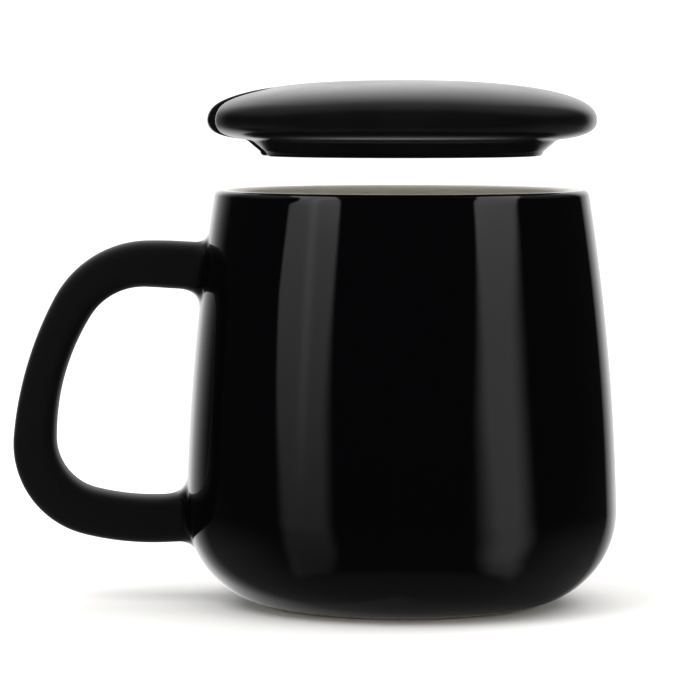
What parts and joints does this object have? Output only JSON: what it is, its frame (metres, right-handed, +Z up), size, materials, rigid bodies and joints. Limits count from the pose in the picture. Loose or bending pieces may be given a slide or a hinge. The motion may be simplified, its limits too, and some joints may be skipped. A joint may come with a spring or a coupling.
{
  "type": "heated ceramic mug",
  "caption": "Rounded ceramic mug with a large loop handle, a heater sealed in its base, and a domed lift-off lid with a spoon notch.",
  "frame": {"origin": "on the mug's axis, in the plane of its foot", "axes": "+Z up along the mug's axis, -X towards the handle, +Y across the handle, away from the picture's camera"},
  "size_m": [0.1298, 0.0926, 0.1124],
  "materials": {
    "glazed_body": "gloss black glaze outside, light cream glaze inside, bare foot",
    "satin_lid": "satin black glaze",
    "silicone_pad": "soft matte",
    "spreader_alloy": "rolled sheet",
    "heater_film": "amber film over etched foil",
    "sensor_epoxy": "dipped bead",
    "cutoff_case": "moulded",
    "felt": "pressed fibre",
    "lead_cover": "extruded",
    "board_laminate": "solder mask",
    "chip_epoxy": "moulded",
    "capacitor_ceramic": "fired",
    "choke_ferrite": "pressed",
    "tray_plastic": "moulded, heat resistant",
    "bond_silicone": "cured bead",
    "shield_ferrite": "sintered sheet",
    "coil_copper": "enamelled copper wire",
    "gasket_silicone": "moulded",
    "cover_plastic": "moulded, fine spark texture",
    "screw_steel": "passivated"
  },
  "bodies": {
    "mug": {"mug_body": "glazed_body", "handle": "glazed_body", "thermal_pad": "silicone_pad", "heat_spreader": "spreader_alloy", "heating_film": "heater_film", "temperature_sensor": "sensor_epoxy", "thermal_cutoff": "cutoff_case", "insulation_disc": "felt", "heater_leads": "lead_cover", "circuit_board": "board_laminate", "control_chips": "chip_epoxy", "storage_capacitors": "capacitor_ceramic", "power_inductor": "choke_ferrite", "module_tray": "tray_plastic", "bond_ring": "bond_silicone", "ferrite_shield": "shield_ferrite", "receiver_coil": "coil_copper", "coil_leads": "coil_copper", "base_gasket": "gasket_silicone", "base_cover": "cover_plastic", "cover_screws": "screw_steel"},
    "lid": {"lid_cap": "satin_lid", "lid_ring": "satin_lid"}
  },
  "joints": [
    {"name": "lid_lift", "type": "slide", "parent": "mug", "child": "lid", "axis": [0, 0, 1], "range_m": [-0.0111, 0.045]}
  ]
}
